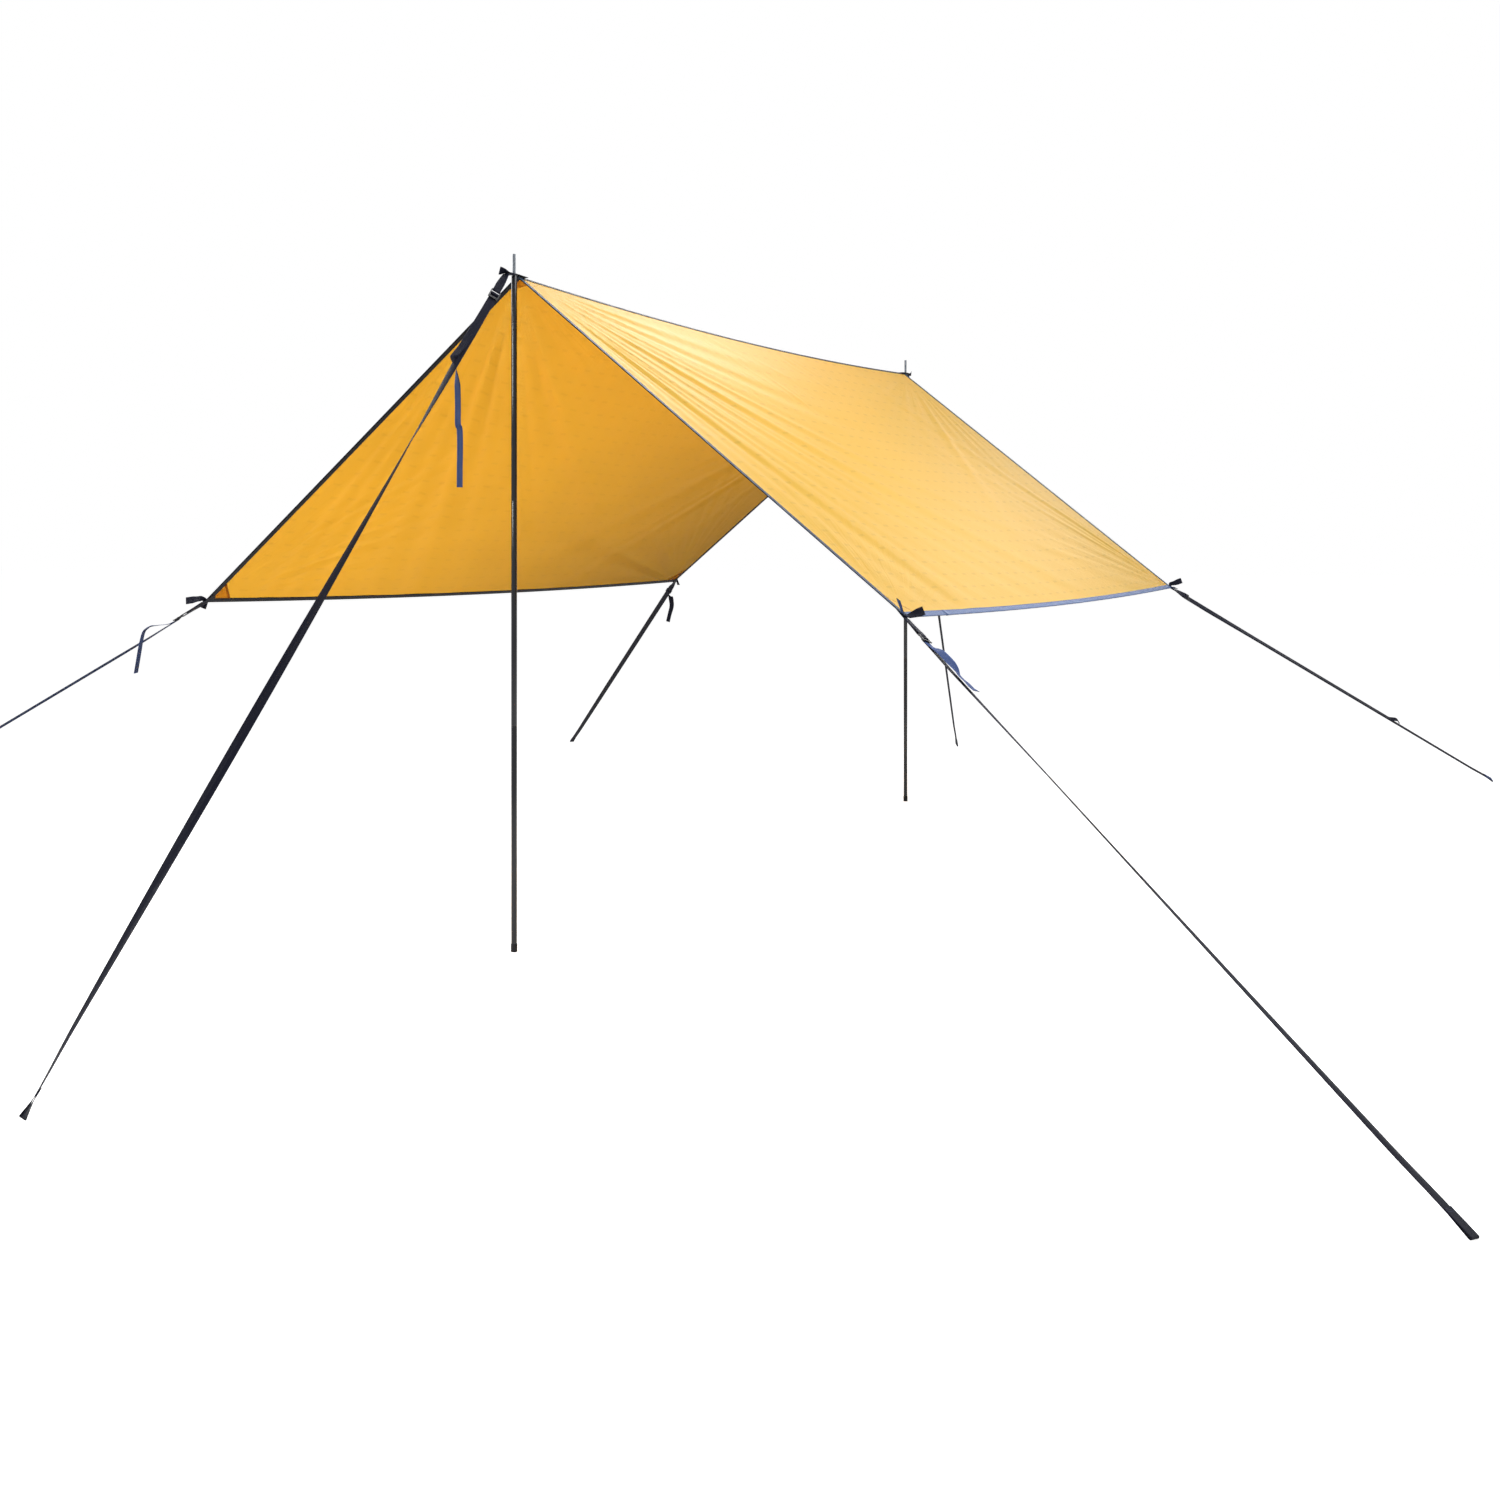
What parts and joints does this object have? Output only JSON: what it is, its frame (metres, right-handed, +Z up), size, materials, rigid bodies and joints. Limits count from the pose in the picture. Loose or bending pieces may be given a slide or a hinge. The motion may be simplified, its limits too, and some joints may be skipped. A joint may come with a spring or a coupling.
{
  "type": "camping tarp",
  "caption": "Ridge-pitched rectangular tarp shelter on upright sectional poles, held taut by webbing guys with ladder-lock buckles.",
  "frame": {"origin": "on the ground under the middle of the ridge, halfway between the two poles", "axes": "+Y along the ridge from the front pole to the rear pole, +X towards the right-hand slope seen from the front, +Z up"},
  "size_m": [5.5843, 7.2471, 2.166],
  "materials": {
    "cloth": "coated polyester, thin and slightly shiny",
    "patch": "doubled coated polyester",
    "binding": "woven binding tape, dull",
    "webbing": "woven webbing, dull",
    "buckle": "moulded, satin",
    "pole_paint": "gloss",
    "zinc": "zinc plated, satin",
    "foot_rubber": "matt"
  },
  "bodies": {
    "tarp": {"canopy_left_panel": "cloth", "canopy_right_panel": "cloth", "edge_binding": "binding", "ridge_tape": "binding", "front_eyelet": "zinc", "rear_eyelet": "zinc", "patch_front_ridge": "patch", "tab_front_ridge": "webbing", "loop_front_ridge": "webbing", "strap_front_ridge": "webbing", "tail_front_ridge": "webbing", "patch_front_left": "patch", "tab_front_left": "webbing", "loop_front_left": "webbing", "strap_front_left": "webbing", "tail_front_left": "webbing", "patch_front_right": "patch", "tab_front_right": "webbing", "loop_front_right": "webbing", "strap_front_right": "webbing", "tail_front_right": "webbing", "patch_rear_right": "patch", "tab_rear_right": "webbing", "loop_rear_right": "webbing", "strap_rear_right": "webbing", "tail_rear_right": "webbing", "patch_rear_left": "patch", "tab_rear_left": "webbing", "loop_rear_left": "webbing", "strap_rear_left": "webbing", "tail_rear_left": "webbing", "patch_rear_ridge": "patch", "tab_rear_ridge": "webbing", "loop_rear_ridge": "webbing", "strap_rear_ridge": "webbing", "tail_rear_ridge": "webbing"},
    "front_pole_top": {"front_pole_pin_plug": "zinc", "front_pole_upper_section": "pole_paint"},
    "front_pole_middle": {"front_pole_middle_section": "pole_paint"},
    "front_pole_base": {"front_pole_lower_section": "pole_paint", "front_pole_foot": "foot_rubber"},
    "rear_pole_top": {"rear_pole_pin_plug": "zinc", "rear_pole_upper_section": "pole_paint"},
    "rear_pole_middle": {"rear_pole_middle_section": "pole_paint"},
    "rear_pole_base": {"rear_pole_lower_section": "pole_paint", "rear_pole_foot": "foot_rubber"},
    "front_ridge_buckle": {"buckle_front_ridge": "buckle", "strap_turn_front_ridge": "webbing"},
    "front_left_buckle": {"buckle_front_left": "buckle", "strap_turn_front_left": "webbing"},
    "front_right_buckle": {"buckle_front_right": "buckle", "strap_turn_front_right": "webbing"},
    "rear_right_buckle": {"buckle_rear_right": "buckle", "strap_turn_rear_right": "webbing"},
    "rear_left_buckle": {"buckle_rear_left": "buckle", "strap_turn_rear_left": "webbing"},
    "rear_ridge_buckle": {"buckle_rear_ridge": "buckle", "strap_turn_rear_ridge": "webbing"}
  },
  "joints": [
    {"name": "front_pole_lean", "type": "hinge", "parent": "tarp", "child": "front_pole_top", "pos_m": [0, -1.665, 2.1027], "axis": [1, 0, 0], "range_deg": [-10, 10]},
    {"name": "front_pole_middle_pull", "type": "slide", "parent": "front_pole_top", "child": "front_pole_middle", "axis": [0, 0, -1], "range_m": [0, 0.055]},
    {"name": "front_pole_base_pull", "type": "slide", "parent": "front_pole_middle", "child": "front_pole_base", "axis": [0, 0, -1], "range_m": [0, 0.055]},
    {"name": "rear_pole_lean", "type": "hinge", "parent": "tarp", "child": "rear_pole_top", "pos_m": [0, 1.665, 2.1027], "axis": [1, 0, 0], "range_deg": [-10, 10]},
    {"name": "rear_pole_middle_pull", "type": "slide", "parent": "rear_pole_top", "child": "rear_pole_middle", "axis": [0, 0, -1], "range_m": [0, 0.055]},
    {"name": "rear_pole_base_pull", "type": "slide", "parent": "rear_pole_middle", "child": "rear_pole_base", "axis": [0, 0, -1], "range_m": [0, 0.055]},
    {"name": "front_ridge_buckle_tilt", "type": "hinge", "parent": "tarp", "child": "front_ridge_buckle", "pos_m": [-0.0046, -1.75277, 2.03896], "axis": [-0.6601, -0.5695, 0.4899], "range_deg": [0, 35]},
    {"name": "front_left_buckle_tilt", "type": "hinge", "parent": "tarp", "child": "front_left_buckle", "pos_m": [-1.36182, -1.69782, 1.01638], "axis": [-0.5147, 0.8573, 0.0094], "range_deg": [0, 35]},
    {"name": "front_right_buckle_tilt", "type": "hinge", "parent": "tarp", "child": "front_right_buckle", "pos_m": [1.36049, -1.70094, 1.01726], "axis": [-0.3603, -0.8816, 0.305], "range_deg": [0, 35]},
    {"name": "rear_right_buckle_tilt", "type": "hinge", "parent": "tarp", "child": "rear_right_buckle", "pos_m": [1.33971, 1.72824, 1.02723], "axis": [0.2028, -0.548, -0.8115], "range_deg": [0, 35]},
    {"name": "rear_left_buckle_tilt", "type": "hinge", "parent": "tarp", "child": "rear_left_buckle", "pos_m": [-1.35535, 1.71096, 1.02078], "axis": [0.7411, 0.4127, -0.5296], "range_deg": [0, 35]},
    {"name": "rear_ridge_buckle_tilt", "type": "hinge", "parent": "tarp", "child": "rear_ridge_buckle", "pos_m": [-0.0215, 1.75757, 2.04584], "axis": [0.9741, 0.2262, 0], "range_deg": [0, 35]}
  ]
}
